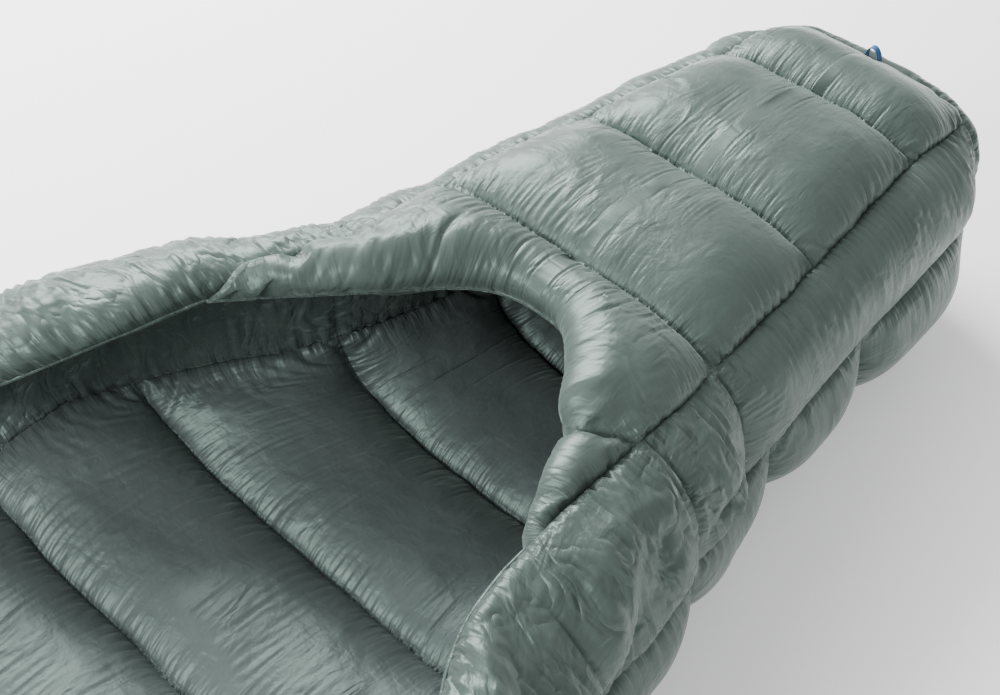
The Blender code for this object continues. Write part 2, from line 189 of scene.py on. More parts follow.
# ---- finishes: colours are linear, bump heights in metres, pattern scales in cells per metre ----
SHELL_LIGHT = (0.056, 0.075, 0.067, 1)
SHELL_DARK = (0.044, 0.060, 0.054, 1)
SHELL_ROUGHNESS = 0.40
# the lining's tones: the shell's fabric, made a little darker and greyer as painted shade for the shadow it
# lies in
LINING_LIGHT = (0.056, 0.070, 0.067, 1)
LINING_DARK = (0.044, 0.056, 0.054, 1)
LINING_ROUGHNESS = 0.42
PUCKER_FADE = 62.0  # the printed puckers fade by e over one part in this of a metre from a seam
PUCKER_HEIGHT = 0.0050
CRINKLE_HEIGHT = 0.0011
STREAK_HEIGHT = 0.0030
GRAIN_HEIGHT = 0.00018
CREASE_HEIGHT = 0.0012
CRUMPLED_CREASE = 0.0120  # added to CREASE_HEIGHT where the cloth is crumpled
WEAVE_HEIGHT = 0.000006
WEAVE_SCALE = 520.0
SEAM_SHADE_FADE = 420.0  # painted shade: a darker line along each seam, standing in for the shadow in its valley
SEAM_SHADE_SHARE = 0.55
SEAM_SHADE_DARK = 0.35

# ---- studio ----
FLOOR_HALF = 40.0
FLOOR_COLOUR = (0.93, 0.93, 0.93, 1)
FLOOR_GLOW = 0.34
SKY_STRENGTH = 0.76
CAMERA_PLACE = (0.723, -0.41, 1.28)
CAMERA_TURN = (45.5, 0, 44.5)  # degrees
CAMERA_LENS = 56.7

rng = np.random.RandomState(11)


# ---- the middle surface ----

@functools.lru_cache(maxsize=None)
def station_values(y):
    """The stations' values at y, on a smooth curve through them."""
    ys = [row[0] for row in STATIONS]
    y = min(max(y, ys[0]), ys[-1])
    i = min(max(np.searchsorted(ys, y) - 1, 0), len(ys) - 2)
    rows = [np.array(STATIONS[min(max(k, 0), len(ys) - 1)][1:], float) for k in range(i - 1, i + 3)]
    knots = [ys[min(max(k, 0), len(ys) - 1)] for k in range(i - 1, i + 3)]
    span = knots[2] - knots[1]
    t = (y - knots[1]) / span
    slope_in = (rows[2] - rows[0]) / max(knots[2] - knots[0], 1e-9) * span
    slope_out = (rows[3] - rows[1]) / max(knots[3] - knots[1], 1e-9) * span
    return (
        (2 * t**3 - 3 * t**2 + 1) * rows[1]
        + (t**3 - 2 * t**2 + t) * slope_in
        + (3 * t**2 - 2 * t**3) * rows[2]
        + (t**3 - t**2) * slope_out
    )


def ring(y, angles):
    """Points of the closed section at y. Angle 0 is the bottom, and positive angles are on the right side."""
    left, right, height, _, upper_squareness = station_values(y)
    s, c = np.sin(angles), np.cos(angles)
    squareness = np.where(c > 0, LOWER_SQUARENESS, upper_squareness)
    x = np.where(angles > 0, right, left) * np.sign(s) * np.abs(s) ** squareness
    lift = 1 - np.sign(c) * np.abs(c) ** squareness
    return np.stack([x, np.full_like(x, y), FLOOR_TO_MIDDLE + height / 2 * lift * (1 - LEAN * s)])


@functools.lru_cache(maxsize=None)
def section(y, start, end, steps=240):
    """Points of the section at y from one angle to another, and the length along it up to each."""
    points = ring(y, np.linspace(start, end, steps + 1))
    along = np.concatenate([[0], np.cumsum(np.linalg.norm(np.diff(points, axis=1), axis=0))])
    return points, along


def along_section(y, start, end, shares):
    """Points at shares of the way, by length, from one angle of the section to another."""
    points, along = section(y, start, end)
    return np.stack([np.interp(np.asarray(shares) * along[-1], along, points[k]) for k in range(3)])


def edge_angle(y):
    return math.radians(station_values(y)[3])


def half_girth(y):
    return section(y, 0, edge_angle(y))[1][-1]


def body_middle(us, ys):
    """Middle surface of the body sheet as (3, rows, columns): u is 0 at the bottom, -1 or 1 at the edges."""
    left, right = us[us < 0], us[us >= 0]
    rows = []
    for y in ys:
        edge = edge_angle(y)
        sides = along_section(y, 0, -edge, -left), along_section(y, 0, edge, right)
        rows.append(np.concatenate(sides, axis=1))
    return np.stack(rows, axis=1)


def back_middle(gs, ys):
    """Middle surface of the footbox back; ys holds a y for each row and column."""
    points = np.empty((3,) + ys.shape)
    for i in range(ys.shape[0]):
        for j, g in enumerate(gs):
            side = 1 if g >= 0 else -1
            y = float(ys[i, j])
            points[:, i, j] = along_section(y, side * TOP_ANGLE, side * edge_angle(y), abs(g))
    return points


def mouth_y(g):
    """The footbox mouth's edge across the back panel."""
    return MOUTH_MIDDLE_Y - (MOUTH_MIDDLE_Y - MOUTH_CORNER_Y) * np.abs(g) ** MOUTH_BOW


# ---- small array tools ----

def cross(a, b):
    return np.stack([a[1] * b[2] - a[2] * b[1], a[2] * b[0] - a[0] * b[2], a[0] * b[1] - a[1] * b[0]])


def length_of(a):
    return np.sqrt(a[0] ** 2 + a[1] ** 2 + a[2] ** 2)


def grid_normals(points):
    """Unit normals of grids of points, shaped (3, ..., rows, columns)."""
    n = cross(np.gradient(points, axis=-1), np.gradient(points, axis=-2))
    return n / np.maximum(length_of(n), 1e-12)


def smooth_noise(shape, cell_rows, cell_columns):
    """Random values about -1 to 1 that change smoothly over so many rows and columns."""
    rows, columns = shape
    coarse = rng.uniform(-1, 1, (rows // cell_rows + 4, columns // cell_columns + 4))
    at_rows = np.arange(rows) / cell_rows + 1
    at_columns = np.arange(columns) / cell_columns + 1
    return cubic_rows(cubic_rows(coarse, at_rows).T, at_columns).T


def cubic_rows(values, at):
    """Catmull-Rom interpolation between the rows of values."""
    k = at.astype(int)
    t = (at - k)[:, None]
    p0, p1, p2, p3 = (values[np.clip(k + d, 0, len(values) - 1)] for d in (-1, 0, 1, 2))
    return p1 + 0.5 * t * (p2 - p0 + t * (2 * p0 - 5 * p1 + 4 * p2 - p3 + t * (3 * (p1 - p2) + p3 - p0)))


def seam_rise(distance):
    """0 at a baffle seam, 1 from CROWN_REACH on."""
    return np.sin(np.pi / 2 * np.clip(distance / CROWN_REACH, 0, 1)) ** CROWN_POWER


def uneven_rise(seams, y):
    """seam_rise along a strip whose seams are not all sewn down equally deep."""
    return np.min([1 - depth * (1 - seam_rise(np.abs(y - seam))) for seam, depth in seams], axis=0)


def edge_roll(distance):
    """0 at a free edge, rising like a quarter circle to 1."""
    return np.sqrt(1 - (1 - np.clip(distance / ROLL_REACH, 0, 1)) ** 2)


def facets(shape, cell_rows, cell_columns, slant):
    """Random heights on a leaning grid, joined by flat triangles with sharp folds between them."""
    at_row = (np.arange(shape[0])[:, None] + slant * np.arange(shape[1])) / cell_rows
    at_row = at_row + 0.45 * smooth_noise(shape, cell_rows, cell_columns)
    at_column = np.arange(shape[1]) / cell_columns + 0.45 * smooth_noise(shape, cell_rows, cell_columns)
    at_row -= at_row.min()
    at_column -= at_column.min()
    i, j = at_row.astype(int), at_column.astype(int)
    r, c = at_row - i, at_column - j
    heights = rng.uniform(-1, 1, (i.max() + 2, j.max() + 2))
    near, below, beside, far = heights[i, j], heights[i + 1, j], heights[i, j + 1], heights[i + 1, j + 1]
    first = near + r * (below - near) + c * (beside - near)
    second = far + (1 - r) * (beside - far) + (1 - c) * (below - far)
    return np.where(r + c < 1, first, second)


def toe_taper(y):
    """0 at the toe seam, 1 a little way up the tube."""
    return np.sin(np.pi / 2 * np.clip((TOE_SEAM_Y - y) / TOE_REACH, 0, 1)) ** TOE_POWER


def distance_to(values, at):
    """Distance from each of at to the nearest of values."""
    return np.min([np.abs(at - v) for v in values], axis=0)


# ---- laying the cloth out ----

def body_rows():
    """Row positions from the toe seam to the head, with a row on every seam and an even number between."""
    side_seams = tuple(seam for seam, _ in LEFT_SEAMS + RIGHT_SEAMS)
    seams = sorted(set(CENTRE_SEAMS + side_seams + (HEAD_Y,)), reverse=True)
    rows = [seams[0]]
    for high, low in zip(seams, seams[1:]):
        pitch = ROW_PITCH if low > HEAD_PITCH_FROM else HEAD_ROW_PITCH
        count = 4 * max(round((high - low) / pitch / 4), 2)
        rows += [high + (low - high) * k / count for k in range(1, count + 1)]
    return np.round(rows, 6)


def rim_seam_y(g):
    return RIM_SEAM_Y - RIM_SEAM_SLOPE * (1 - g)


def back_row_positions(gs):
    """y for each row and column of the footbox back: full chambers, then the crescent down to the mouth."""
    columns = []
    for g in gs:
        stops = list(BACK_SEAMS) + [float(mouth_y(g))]
        rows = [stops[0]]
        for k, (high, low) in enumerate(zip(stops, stops[1:])):
            depth = high - low if k < len(BACK_SEAMS) - 1 else CRESCENT_DEPTH
            count = 4 * max(round(depth / ROW_PITCH / 4), 2)
            rows += [high + (low - high) * n / count for n in range(1, count + 1)]
        if g > RIM_SEAM_FROM:
            rows[int(np.argmin(np.abs(np.array(rows) - rim_seam_y(g))))] = rim_seam_y(g)
        columns.append(rows)
    return np.round(np.array(columns).T, 6)


class Cloth:
    """Shell and lining over one middle surface: arrays shaped (3, 2, rows, columns), shell first."""

    def __init__(self, middle, outward, loft, pinned, fullness_u, fullness_v, hold):
        normals = grid_normals(middle) * outward
        self.sign = outward
        self.target = np.stack([middle + normals * loft, middle - normals * loft], axis=1)
        self.normals = normals
        self.pinned = pinned
        self.hold = np.broadcast_to(hold, pinned.shape)
        self.fullness_u = fullness_u * self.patches(loft.shape)
        self.fullness_v = fullness_v * self.patches(loft.shape)
        self.points = self.target.copy()

    @staticmethod
    def patches(shape):
        """Uneven shares of fullness, in larger and smaller patches."""
        uneven = sum(smooth_noise(shape, *cells) for cells in PATCH_CELLS)
        return np.clip(1 + PATCHINESS * uneven, 0.1, 2.3)

    def wander(self):
        """Moves the seams' own points a little, as sewing does."""
        rows, columns = self.pinned.shape
        side = np.gradient(self.target, axis=-1)
        side /= np.maximum(length_of(side), 1e-9)
        down = np.gradient(self.target, axis=-2)
        down /= np.maximum(length_of(down), 1e-9)
        ripple = PUCKER * smooth_noise((rows, columns), 3, 5) * self.pinned
        slip_u = SHIFT * smooth_noise((rows, columns), 7, 9) * self.pinned
        slip_v = SHIFT * smooth_noise((rows, columns), 6, 12) * self.pinned
        self.target += self.normals[:, None] * ripple + side * slip_u + down * slip_v

    def blow_up(self):
        """Lets the down push both layers out, first on every second point and then on all of them."""
        offset = None
        for stride, steps in LEVELS:
            cut = (slice(None), slice(None), slice(None, None, stride), slice(None, None, stride))
            target = self.target[cut].astype(np.float32)
            start = target if offset is None else target + doubled(offset, target.shape)
            start = start + (KICK * stride * rng.uniform(-1, 1, start.shape)).astype(np.float32)
            flat_cut = cut[2:]
            x = relax(
                start, target, self.pinned[flat_cut], self.sign, self.fullness_u[flat_cut],
                self.fullness_v[flat_cut], self.hold[flat_cut], steps, BLOW * stride)
            offset = x - target
        self.points = x


def doubled(offset, shape):
    """An offset grid interpolated to twice its points."""
    rows, columns = shape[-2:]
    out = np.empty(shape, np.float32)
    out[..., ::2, ::2] = offset
    out[..., 1::2, ::2] = (offset[..., 1:, :] + offset[..., :-1, :]) / 2
    out[..., :, 1::2] = (out[..., :, 2::2] + out[..., :, :-2:2]) / 2
    return out


# pairs of neighbours in a grid, as slices of its last two axes
ALL, FIRST, LAST = slice(None), slice(None, -1), slice(1, None)
ACROSS = ((ALL, FIRST), (ALL, LAST))
ALONG = ((FIRST, ALL), (LAST, ALL))
DIAGONAL = ((FIRST, FIRST), (LAST, LAST))
ANTIDIAGONAL = ((FIRST, LAST), (LAST, FIRST))


def between(x, pair):
    return x[(Ellipsis,) + pair[1]] - x[(Ellipsis,) + pair[0]]


def pull_together(x, total, pair, rest, share):
    """Adds to total what brings each pair of neighbours to its rest length."""
    gap = between(x, pair)
    pull = 1 - rest / np.maximum(length_of(gap), 1e-9)
    gap *= share * np.where(pull < 0, COMPRESSION * pull, pull)
    total[(Ellipsis,) + pair[0]] += gap
    total[(Ellipsis,) + pair[1]] -= gap


def relax(start, target, pinned, sign, fullness_u, fullness_v, hold, steps, push):
    """Position-based cloth: every step blows the layers apart, then shortens what is stretched."""
    rest_u = length_of(between(target, ACROSS)) * (1 + fullness_u[:, 1:]).astype(np.float32)
    rest_v = length_of(between(target, ALONG)) * (1 + fullness_v[1:, :]).astype(np.float32)
    mean = (1 + (fullness_u + fullness_v)[1:, 1:] / 2).astype(np.float32)
    rest_d = length_of(between(target, DIAGONAL)) * mean
    rest_a = length_of(between(target, ANTIDIAGONAL)) * mean
    direction = np.array([sign, -sign], np.float32)[:, None, None]
    hold = hold.astype(np.float32)
    free = ~pinned
    x, before = start.copy(), start.copy()
    for step in range(steps):
        if step % 4 == 0:
            lift = push * grid_normals(x) * direction
        after = x + DAMPING * (x - before) + lift + hold * (target - x)
        before, x = x, after
        for _ in range(2):
            total = np.zeros_like(x)
            pull_together(x, total, ACROSS, rest_u, 0.25)
            pull_together(x, total, ALONG, rest_v, 0.25)
            pull_together(x, total, DIAGONAL, rest_d, 0.25 * SHEAR)
            pull_together(x, total, ANTIDIAGONAL, rest_a, 0.25 * SHEAR)
            x += total
            x = np.where(free, x, target)
        inner = x[..., 1:-1, 1:-1]
        around = (x[..., 2:, 1:-1] + x[..., :-2, 1:-1] + x[..., 1:-1, 2:] + x[..., 1:-1, :-2]) / 4
        x[..., 1:-1, 1:-1] = np.where(free[1:-1, 1:-1], inner + SMOOTHING * (around - inner), inner)
        x[2] = np.maximum(x[2], FLOOR_CLEAR)
    return x


def body_cloth():
    us = np.arange(-HALF_COLUMNS, HALF_COLUMNS + 1) / HALF_COLUMNS
    ys = body_rows()
    middle = body_middle(us, ys)
    girth = np.array([half_girth(y) for y in ys])[:, None]
    u, y = np.meshgrid(us, ys)
    in_collar = y < CENTRE_SEAMS[-1] - 1e-6
    share = np.where(u < 0, CENTRE_SHARE_LEFT, CENTRE_SHARE_RIGHT)
    in_strip = (np.abs(u) > share + 1e-6) & ~in_collar
    to_centre_seam = distance_to(CENTRE_SEAMS, y)
    held = [[seam for seam, depth in seams if depth >= STITCHED_DEPTH] for seams in (LEFT_SEAMS, RIGHT_SEAMS)]
    to_side_seam = np.where(u < 0, distance_to(held[0], y), distance_to(held[1], y))
    to_cross = np.where(in_strip, to_side_seam, to_centre_seam)
    to_long = np.abs(np.abs(u) - share) * girth
    to_edge = (1 - np.abs(u)) * girth
    to_head = y - HEAD_Y

    # the free edge is sewn shut along the opening, and is a full seam beside the footbox
    openness = np.clip((y - MOUTH_CORNER_Y) / OPENING_REACH, 0, 1)
    edge_half = HALF_LOFT_EDGE + (HALF_LOFT_SEAM - HALF_LOFT_EDGE) * openness
    closing = np.where(in_strip | in_collar, edge_roll(to_edge), 1)
    closing = closing + (1 - closing) * openness
    closing = closing * np.where(in_collar, edge_roll(to_head), 1)
    closing = closing * toe_taper(y)
    tuck_right = np.interp(y, (FOLD_Y, FOLD_Y + 0.15), (TUCK, TUCK_RIGHT))
    tuck = np.where(u < 0, TUCK, tuck_right) * (1 - openness)
    tucked = tuck * np.clip(1 - to_edge / TUCK_REACH, 0, 1) ** 2
    middle = middle - grid_normals(middle) * tucked
    near_long = np.where(in_collar, 1, seam_rise(to_long))
    near_side = np.where(in_strip, 1 - openness * (1 - seam_rise(to_edge)), 1)
    lumps = 1 + LUMP * smooth_noise(u.shape, *BODY_LUMP_CELLS)
    strip_rise = np.where(u < 0, uneven_rise(LEFT_SEAMS, y), uneven_rise(RIGHT_SEAMS, y))
    tube_starts = (CRUMPLED_TO - 0.10, CRUMPLED_TO)
    loft_left, loft_right = (np.interp(y, tube_starts, pair) for pair in (STRIP_LOFT_LEFT, STRIP_LOFT_RIGHT))
    strip_rise = strip_rise * np.where(u < 0, loft_left, loft_right)
    cross_rise = np.where(in_strip, strip_rise, seam_rise(to_centre_seam))
    crown = cross_rise * near_long * near_side * lumps
    folds = 1.5 * facets(u.shape, *LARGE_FACETS) + 0.7 * facets(u.shape, *SMALL_FACETS)
    crumpled = np.clip((CRUMPLED_TO - y) / 0.08, 0, 1)
    crumpled = np.maximum(crumpled, np.where(u < 0, CRUMPLED_LEFT, CRUMPLED_RIGHT))
    crumpled = crumpled * np.clip(1 + (y - CRUMPLED_FROM) / 0.25, CRUMPLED_FLAT, 1)
    folds = CRUMPLE * folds * in_strip * crumpled * seam_rise(2 * to_cross)
    loft = HALF_LOFT_SEAM + (HALF_LOFT_CROWN - HALF_LOFT_SEAM) * crown + folds * np.minimum(1.3 * crown, 1)
    loft = HALF_LOFT_EDGE + (loft - HALF_LOFT_EDGE) * closing
    at_edge = np.abs(u) > 1 - 1e-9
    edge_half = HALF_LOFT_EDGE + (edge_half - HALF_LOFT_EDGE) * toe_taper(y)
    loft = np.where(at_edge, edge_half, loft)

    pinned = at_edge | (to_head < 1e-9) | (TOE_SEAM_Y - y < 1e-9)
    pinned |= (to_cross < 1e-6) | ((to_long < 1e-6) & ~in_collar)
    gather = np.exp(-to_cross / SEAM_REACH)
    gather_long = np.exp(-np.minimum(to_long, to_edge) / SEAM_REACH)
    strip = FULLNESS_STRIP * in_strip * crumpled
    fullness_u = FULLNESS_BASE + FULLNESS_SEAM * gather
    fullness_v = FULLNESS_BASE + FULLNESS_SEAM * gather_long + strip
    hold = np.where(in_strip, HOLD_STRIP, HOLD)
    cloth = Cloth(middle, 1, loft, pinned, fullness_u, fullness_v, hold)
    cloth.ys = ys
    cloth.flat = np.stack([u * girth, y])
    to_side = np.where(in_collar, to_edge, np.minimum(to_long, to_edge))
    cloth.seams = np.stack([to_cross, to_side, crumpled * in_strip])
    return cloth


def back_cloth():
    gs = np.linspace(-1, 1, BACK_COLUMNS + 1)
    ys = back_row_positions(gs)
    middle = back_middle(gs, ys)
    g = np.broadcast_to(gs, ys.shape)
    side_ys = [float(y) for y in ys[:, -1]]
    half_width = np.array([section(y, TOP_ANGLE, edge_angle(y))[1][-1] for y in side_ys])[:, None]
    to_side = (1 - np.abs(g)) * half_width
    in_crescent = ys < BACK_SEAMS[-1] - 1e-6
    to_mouth = ys - mouth_y(g)
    to_rim_seam = np.abs(ys - rim_seam_y(g)) + 0.4 * np.clip(RIM_SEAM_FROM - g, 0, 2)
    to_cross = np.minimum(distance_to(BACK_SEAMS, ys), np.where(in_crescent, to_rim_seam, 1))
    lumps = 1 + LUMP * smooth_noise(ys.shape, *BACK_LUMP_CELLS)
    crown = seam_rise(to_cross) * seam_rise(to_side) * lumps
    folds = 0.3 * CRUMPLE * facets(ys.shape, *RIM_FACETS) * in_crescent * seam_rise(2 * to_side)
    loft = HALF_LOFT_SEAM + (HALF_LOFT_CROWN - HALF_LOFT_SEAM) * crown + folds * crown
    closing = np.where(in_crescent, edge_roll(to_mouth), 1) * toe_taper(ys)
    middle = middle + grid_normals(middle) * TUCK * np.clip(1 - to_mouth / TUCK_REACH, 0, 1) ** 2
    loft = HALF_LOFT_EDGE + (loft - HALF_LOFT_EDGE) * closing
    pinned = (distance_to(BACK_SEAMS, ys) < 1e-6) | (to_side < 1e-9) | (to_mouth < 1e-6)
    pinned |= to_rim_seam < 2e-6
    gather = np.exp(-to_cross / SEAM_REACH)
    gather_long = np.exp(-to_side / SEAM_REACH)
    strip = np.where(in_crescent, FULLNESS_STRIP, 0)
    fullness_u = FULLNESS_BASE + FULLNESS_SEAM * gather + strip
    fullness_v = FULLNESS_BASE + FULLNESS_SEAM * gather_long
    cloth = Cloth(middle, -1, loft, pinned, fullness_u, fullness_v, HOLD)
    cloth.flat = np.stack([g * half_width, ys])
    cloth.seams = np.stack([np.minimum(to_cross, to_mouth), to_side, 0.3 * in_crescent])
    cloth.ys = ys
    return cloth


def toe_cloth():
    """The toe panel: a square grid drawn onto the tube's end section, bowed outwards."""
    steps = np.linspace(-1, 1, TOE_CELLS + 1)
    v, u = np.meshgrid(steps, steps, indexing="ij")
    a, b = u * np.sqrt(1 - v * v / 2), v * np.sqrt(1 - u * u / 2)
    share = np.hypot(a, b)
    rim = ring(TOE_SEAM_Y, np.arctan2(a, -b))
    centre = FLOOR_TO_MIDDLE + station_values(TOE_SEAM_Y)[2] / 2
    bowed = TOE_SEAM_Y + TOE_BOW * (1 - share**2)
    middle = np.stack([rim[0] * share, bowed, centre + (rim[2] - centre) * share])
    to_rim = (1 - share) * TOE_RADIUS
    lumps = 1 + LUMP * smooth_noise(u.shape, *TOE_LUMP_CELLS)
    crown = edge_roll(to_rim) * seam_rise(to_rim + 0.03) * lumps
    loft = HALF_LOFT_EDGE + (TOE_LOFT_CROWN - HALF_LOFT_EDGE) * crown
    pinned = share > 1 - 1e-9
    fullness = FULLNESS_BASE + FULLNESS_SEAM * np.exp(-to_rim / SEAM_REACH)
    cloth = Cloth(middle, -1, loft, pinned, fullness, fullness, HOLD)
    cloth.flat = np.stack([a, b]) * TOE_RADIUS
    steepness = np.abs(np.stack([b, a])) / np.maximum(share, 1e-6)
    cloth.seams = np.stack([*(to_rim + 0.06 * (1 - steepness)), np.zeros_like(share)])
    return cloth


def sew_together(body, back, toe):
    """The back takes the body's edges and the toe takes the tube's end, so that they share their seams."""
    for side, column in ((0, 0), (1, -1)):
        for layer in (0, 1):
            edge = body.target[:, layer, :, column]
            for k in range(3):
                back.target[k, layer, :, column] = np.interp(-back.ys[:, column], -body.ys, edge[k])
    centre = toe.target[:, 0, TOE_CELLS // 2, TOE_CELLS // 2]
    for layer in (0, 1):
        end = np.concatenate([body.target[:, layer, 0], back.target[:, layer, 0, ::-1]], axis=1)
        bearing = np.arctan2(end[0], -(end[2] - centre[2]))
        order = np.argsort(bearing)
        rim = toe.pinned
        wanted = np.arctan2(toe.target[0, layer][rim], -(toe.target[2, layer][rim] - centre[2]))
        for k in range(3):
            toe.target[k, layer][rim] = np.interp(wanted, bearing[order], end[k][order], period=2 * math.pi)


# ---- materials ----

class Nodes:
    """Short names for making a material's nodes."""

    def __init__(self, name):
        self.material = bpy.data.materials.new(name)
        self.material.use_nodes = True
        self.tree = self.material.node_tree
        self.shader = self.tree.nodes["Principled BSDF"]

    def add(self, kind, settings=None, **inputs):
        node = self.tree.nodes.new("ShaderNode" + kind)
        for key, value in (settings or {}).items():
            setattr(node, key, value)
        for key, value in inputs.items():
            self.put(node.inputs[key.replace("_", " ")], value)
        return node

    def put(self, socket, value):
        if hasattr(value, "is_output"):
            self.tree.links.new(value, socket)
        else:
            socket.default_value = value

    def feed(self, name, value):
        self.put(self.shader.inputs[name], value)

    def math(self, operation, a, b=0.0, c=0.0):
        node = self.tree.nodes.new("ShaderNodeMath")
        node.operation = operation
        for socket, value in zip(node.inputs, (a, b, c)):
            self.put(socket, value)
        return node.outputs[0]

    def noise(self, vector, scale, detail=2.0, roughness=0.5, distortion=0.0):
        node = self.add("TexNoise", Vector=vector, Scale=scale, Detail=detail, Roughness=roughness)
        node.inputs["Distortion"].default_value = distortion
        return node.outputs["Fac"]

    def stretch(self, vector, scale):
        return self.add("Mapping", Vector=vector, Scale=scale).outputs[0]

    def mix(self, share, low, high):
        node = self.tree.nodes.new("ShaderNodeMix")
        node.data_type = "RGBA"
        self.put(node.inputs[0], share)
        self.put(node.inputs[6], low)
        self.put(node.inputs[7], high)
        return node.outputs[2]

    def ramp(self, value, low, high):
        return self.add("MapRange", Value=value, From_Min=low, From_Max=high).outputs[0]

    def bump(self, height, strength=1.0, under=None):
        node = self.add("Bump", Height=height, Strength=strength, Distance=1.0)
        if under is not None:
            self.put(node.inputs["Normal"], under)
        return node.outputs[0]


def darker(colour, share):
    return tuple(share * c for c in colour[:3]) + (1.0,)


def nylon(name, light, dark, roughness):
    """Thin calendered nylon, gathered at its seams: puckers, crinkles, a fine weave, a slight sheen and
    painted shade along the seams.
    """
    n = Nodes(name)
    flat = n.add("Attribute", {"attribute_name": "flat"}).outputs["Vector"]
    seams = n.add("SeparateXYZ", Vector=n.add("Attribute", {"attribute_name": "seams"}).outputs["Vector"])
    to_cross, to_long, crumpled = seams.outputs
    near_cross = n.math("EXPONENT", n.math("MULTIPLY", to_cross, -PUCKER_FADE))
    near_long = n.math("EXPONENT", n.math("MULTIPLY", to_long, -PUCKER_FADE))
    across = n.noise(n.stretch(flat, (1.0, 0.16, 1.0)), 130.0, 2.0, 0.55, 0.25)
    along = n.noise(n.stretch(flat, (0.16, 1.0, 1.0)), 130.0, 2.0, 0.55, 0.25)
    crinkle = n.noise(flat, 46.0, 3.0, 0.55, 0.6)
    streaks = n.noise(n.stretch(flat, (1.0, 0.30, 1.0)), 75.0, 2.0, 0.5, 0.9)
    streaky = n.ramp(n.noise(flat, 14.0, 2.0), 0.42, 0.66)
    fine = n.noise(flat, 260.0, 2.0, 0.5, 0.3)
    creases = n.noise(n.stretch(flat, (0.7, 1.0, 1.0)), 34.0, 2.0, 0.45, 0.7)
    creases = n.math("ABSOLUTE", n.math("SUBTRACT", creases, 0.5))
    crease_height = n.math("MULTIPLY_ADD", crumpled, CRUMPLED_CREASE, CREASE_HEIGHT)
    puckers = n.math("ADD", n.math("MULTIPLY", across, near_cross), n.math("MULTIPLY", along, near_long))
    warp = n.add("TexWave", {"bands_direction": "X"}, Vector=flat, Scale=WEAVE_SCALE).outputs["Fac"]
    weft = n.add("TexWave", {"bands_direction": "Y"}, Vector=flat, Scale=WEAVE_SCALE).outputs["Fac"]
    height = n.math("MULTIPLY", puckers, PUCKER_HEIGHT)
    height = n.math("MULTIPLY_ADD", crinkle, CRINKLE_HEIGHT, height)
    height = n.math("MULTIPLY_ADD", n.math("MULTIPLY", streaks, streaky), STREAK_HEIGHT, height)
    height = n.math("MULTIPLY_ADD", fine, GRAIN_HEIGHT, height)
    height = n.math("MULTIPLY_ADD", creases, crease_height, height)
    height = n.math("MULTIPLY_ADD", n.math("ADD", warp, weft), WEAVE_HEIGHT, height)
    blotch = n.ramp(n.noise(flat, 9.0, 3.0, 0.6), 0.3, 0.7)
    # painted shade: the base colour darkens towards each seam, standing in for the shadow in its valley
    to_seam = n.math("MINIMUM", to_cross, to_long)
    seam_line = n.math("EXPONENT", n.math("MULTIPLY", to_seam, -SEAM_SHADE_FADE))
    shade = n.mix(blotch, dark, light)
    shade = n.mix(n.math("MULTIPLY", seam_line, SEAM_SHADE_SHARE), shade, darker(dark, SEAM_SHADE_DARK))
    n.feed("Base Color", shade)
    gloss = n.math("MULTIPLY_ADD", n.noise(flat, 30.0, 2.0), 0.16, roughness - 0.08)
    n.feed("Roughness", gloss)
    n.feed("Normal", n.bump(height))
    n.feed("Sheen Weight", 0.25)
    n.feed("Sheen Roughness", 0.4)
    n.feed("Specular IOR Level", 0.45)
    n.feed("Specular Tint", (0.72, 1.0, 0.89, 1))
    n.feed("Sheen Tint", (0.80, 1.0, 0.92, 1))
    n.feed("Anisotropic", 0.25)
    return n.material


def webbing(name, light, dark):
    """Woven tape: ribs across it, edges a little tighter."""
    n = Nodes(name)
    flat = n.add("Attribute", {"attribute_name": "flat"}).outputs["Vector"]
    rib = n.add("TexWave", {"bands_direction": "Y"}, Vector=flat, Scale=330.0, Distortion=0.6).outputs["Fac"]
    warp = n.add("TexWave", {"bands_direction": "X"}, Vector=flat, Scale=420.0, Distortion=0.4).outputs["Fac"]
    fuzz = n.noise(flat, 2400.0, 2.0)
    height = n.math("MULTIPLY", rib, 0.00011)
    height = n.math("MULTIPLY_ADD", warp, 0.00006, height)
    height = n.math("MULTIPLY_ADD", fuzz, 0.00004, height)
    n.feed("Base Color", n.mix(n.math("MULTIPLY", rib, warp), dark, light))
    n.feed("Normal", n.bump(height))
    n.feed("Roughness", 0.70)
    n.feed("Sheen Weight", 0.08)
    return n.material


def moulded_plastic(name, colour):
    """Moulded acetal: slightly uneven gloss and a fine grain."""
    n = Nodes(name)
    place = n.add("TexCoord").outputs["Object"]
    n.feed("Base Color", n.mix(n.noise(place, 90.0), colour, darker(colour, 0.8)))
    n.feed("Roughness", n.math("MULTIPLY_ADD", n.noise(place, 400.0), 0.2, 0.28))
    n.feed("Normal", n.bump(n.math("MULTIPLY", n.noise(place, 2600.0, 3.0), 0.00003)))
    return n.material


def thread(name, colour):
    """Sewing thread, with the roughness of its fibres."""
    n = Nodes(name)
    place = n.add("TexCoord").outputs["Object"]
    n.feed("Base Color", n.mix(n.noise(place, 500.0), colour, darker(colour, 0.6)))
    n.feed("Roughness", 0.55)
    n.feed("Normal", n.bump(n.math("MULTIPLY", n.noise(place, 5000.0), 0.0001)))
    return n.material


def paper(name, colour):
    """Matt, pale studio floor with a faint glow."""
    n = Nodes(name)
    place = n.add("TexCoord").outputs["Object"]
    n.feed("Base Color", n.mix(n.noise(place, 3.0), colour, darker(colour, 0.985)))
    n.feed("Roughness", 0.9)
    n.feed("Emission Color", colour)
    n.feed("Emission Strength", FLOOR_GLOW)
    return n.material


